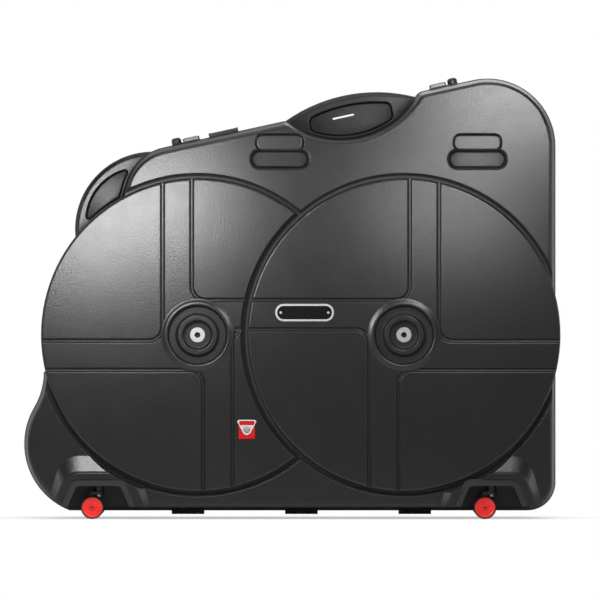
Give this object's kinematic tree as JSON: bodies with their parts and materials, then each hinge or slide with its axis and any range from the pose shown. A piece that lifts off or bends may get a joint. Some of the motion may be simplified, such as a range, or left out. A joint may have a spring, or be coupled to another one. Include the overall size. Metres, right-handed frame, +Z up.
{
  "type": "bike travel case",
  "caption": "Hard-shell bike travel case: clam-shell halves hinged along the bottom, round wheel bays, moulded handles, edge locks and swivel casters.",
  "frame": {"origin": "on the floor under the middle of the case, in the plane where the two halves meet", "axes": "+X along the case towards its tall end, +Y from the front half to the rear half, +Z up"},
  "size_m": [1.182, 0.39, 0.9716],
  "materials": {
    "shell": "fine satin texture",
    "paddle": "fine satin texture",
    "dark_plastic": "matte",
    "seal": "matte",
    "steel": "brushed",
    "black_steel": "black coated",
    "chrome": "polished",
    "wheel_red": "satin",
    "tyre": "matte",
    "foam": "soft",
    "lock_dark": "satin",
    "window": "smoked",
    "plate": "gloss",
    "webbing": "woven"
  },
  "bodies": {
    "rear_half": {"rear_shell": "shell", "rim_seal": "seal", "rear_hub_nuts": "steel", "rear_wheel_pads": "foam", "rear_hinge_leaves": "black_steel", "hinge_pins": "black_steel", "left_lock_base": "chrome", "right_lock_base": "chrome", "rear_left_hub_bush": "steel", "rear_left_caster_cup": "dark_plastic", "rear_right_hub_bush": "steel", "rear_right_caster_cup": "dark_plastic"},
    "front_half": {"front_shell": "shell", "front_hub_nuts": "steel", "front_wheel_pads": "foam", "front_hinge_leaves": "black_steel", "left_lock_keeper": "chrome", "right_lock_keeper": "chrome", "tag_holder": "dark_plastic", "tag_window": "window", "nameplate_bezel": "chrome", "nameplate_plate": "plate", "nameplate_rivets": "steel", "strap_webbing": "webbing", "strap_anchor": "steel", "strap_rivet": "steel", "front_left_hub_bush": "steel", "front_left_caster_cup": "dark_plastic", "front_right_hub_bush": "steel", "front_right_caster_cup": "dark_plastic"},
    "front_left_swivel": {"front_left_caster_fork": "dark_plastic", "front_left_caster_kingpin": "chrome"},
    "front_left_wheel_pair": {"front_left_caster_axle": "steel", "front_left_caster_wheels": "wheel_red", "front_left_caster_tyres": "tyre"},
    "front_left_paddle": {"front_left_grip_paddle": "paddle"},
    "front_right_swivel": {"front_right_caster_fork": "dark_plastic", "front_right_caster_kingpin": "chrome"},
    "front_right_wheel_pair": {"front_right_caster_axle": "steel", "front_right_caster_wheels": "wheel_red", "front_right_caster_tyres": "tyre"},
    "front_right_paddle": {"front_right_grip_paddle": "paddle"},
    "rear_left_swivel": {"rear_left_caster_fork": "dark_plastic", "rear_left_caster_kingpin": "chrome"},
    "rear_left_wheel_pair": {"rear_left_caster_axle": "steel", "rear_left_caster_wheels": "wheel_red", "rear_left_caster_tyres": "tyre"},
    "rear_left_paddle": {"rear_left_grip_paddle": "paddle"},
    "rear_right_swivel": {"rear_right_caster_fork": "dark_plastic", "rear_right_caster_kingpin": "chrome"},
    "rear_right_wheel_pair": {"rear_right_caster_axle": "steel", "rear_right_caster_wheels": "wheel_red", "rear_right_caster_tyres": "tyre"},
    "rear_right_paddle": {"rear_right_grip_paddle": "paddle"},
    "left_hasp": {"left_lock_hasp": "chrome"},
    "left_cylinder": {"left_lock_cylinder": "lock_dark"},
    "right_hasp": {"right_lock_hasp": "chrome"},
    "right_cylinder": {"right_lock_cylinder": "lock_dark"}
  },
  "joints": [
    {"name": "lid_hinge", "type": "hinge", "parent": "rear_half", "child": "front_half", "pos_m": [0, 0, 0.0127], "axis": [1, 0, 0], "range_deg": [0, 105]},
    {"name": "front_left_swivel", "type": "hinge", "parent": "front_half", "child": "front_left_swivel", "pos_m": [-0.425, -0.138, 0.0535], "axis": [0, 0, 1], "continuous": true},
    {"name": "front_left_wheel_spin", "type": "hinge", "parent": "front_left_swivel", "child": "front_left_wheel_pair", "pos_m": [-0.439, -0.138, 0.025], "axis": [0, 1, 0], "continuous": true},
    {"name": "front_left_paddle_hinge", "type": "hinge", "parent": "front_half", "child": "front_left_paddle", "pos_m": [-0.028, -0.177, 0.836], "axis": [-1, 0, 0], "range_deg": [0, 45], "stiffness_Nm_per_rad": 0.05},
    {"name": "front_right_swivel", "type": "hinge", "parent": "front_half", "child": "front_right_swivel", "pos_m": [0.437, -0.138, 0.0535], "axis": [0, 0, 1], "continuous": true},
    {"name": "front_right_wheel_spin", "type": "hinge", "parent": "front_right_swivel", "child": "front_right_wheel_pair", "pos_m": [0.423, -0.138, 0.025], "axis": [0, 1, 0], "continuous": true},
    {"name": "front_right_paddle_hinge", "type": "hinge", "parent": "front_half", "child": "front_right_paddle", "pos_m": [0.406, -0.177, 0.836], "axis": [-1, 0, 0], "range_deg": [0, 45], "stiffness_Nm_per_rad": 0.05},
    {"name": "rear_left_swivel", "type": "hinge", "parent": "rear_half", "child": "rear_left_swivel", "pos_m": [-0.425, 0.138, 0.0535], "axis": [0, 0, 1], "continuous": true},
    {"name": "rear_left_wheel_spin", "type": "hinge", "parent": "rear_left_swivel", "child": "rear_left_wheel_pair", "pos_m": [-0.439, 0.138, 0.025], "axis": [0, 1, 0], "continuous": true},
    {"name": "rear_left_paddle_hinge", "type": "hinge", "parent": "rear_half", "child": "rear_left_paddle", "pos_m": [-0.028, 0.177, 0.836], "axis": [1, 0, 0], "range_deg": [0, 45], "stiffness_Nm_per_rad": 0.05},
    {"name": "rear_right_swivel", "type": "hinge", "parent": "rear_half", "child": "rear_right_swivel", "pos_m": [0.437, 0.138, 0.0535], "axis": [0, 0, 1], "continuous": true},
    {"name": "rear_right_wheel_spin", "type": "hinge", "parent": "rear_right_swivel", "child": "rear_right_wheel_pair", "pos_m": [0.423, 0.138, 0.025], "axis": [0, 1, 0], "continuous": true},
    {"name": "rear_right_paddle_hinge", "type": "hinge", "parent": "rear_half", "child": "rear_right_paddle", "pos_m": [0.406, 0.177, 0.836], "axis": [1, 0, 0], "range_deg": [0, 45], "stiffness_Nm_per_rad": 0.05},
    {"name": "left_hasp_hinge", "type": "hinge", "parent": "rear_half", "child": "left_hasp", "pos_m": [-0.22328, 0.018, 0.8364], "axis": [-0.9772, 0, -0.2125], "range_deg": [0, 120]},
    {"name": "left_lock_turn", "type": "hinge", "parent": "rear_half", "child": "left_cylinder", "pos_m": [-0.25467, 0.0135, 0.82547], "axis": [-0.2125, 0, 0.9772], "range_deg": [0, 90]},
    {"name": "right_hasp_hinge", "type": "hinge", "parent": "rear_half", "child": "right_hasp", "pos_m": [0.32072, 0.018, 0.95471], "axis": [-0.9772, 0, -0.2125], "range_deg": [0, 120]},
    {"name": "right_lock_turn", "type": "hinge", "parent": "rear_half", "child": "right_cylinder", "pos_m": [0.35382, 0.0135, 0.95781], "axis": [-0.2125, 0, 0.9772], "range_deg": [0, 90]}
  ]
}
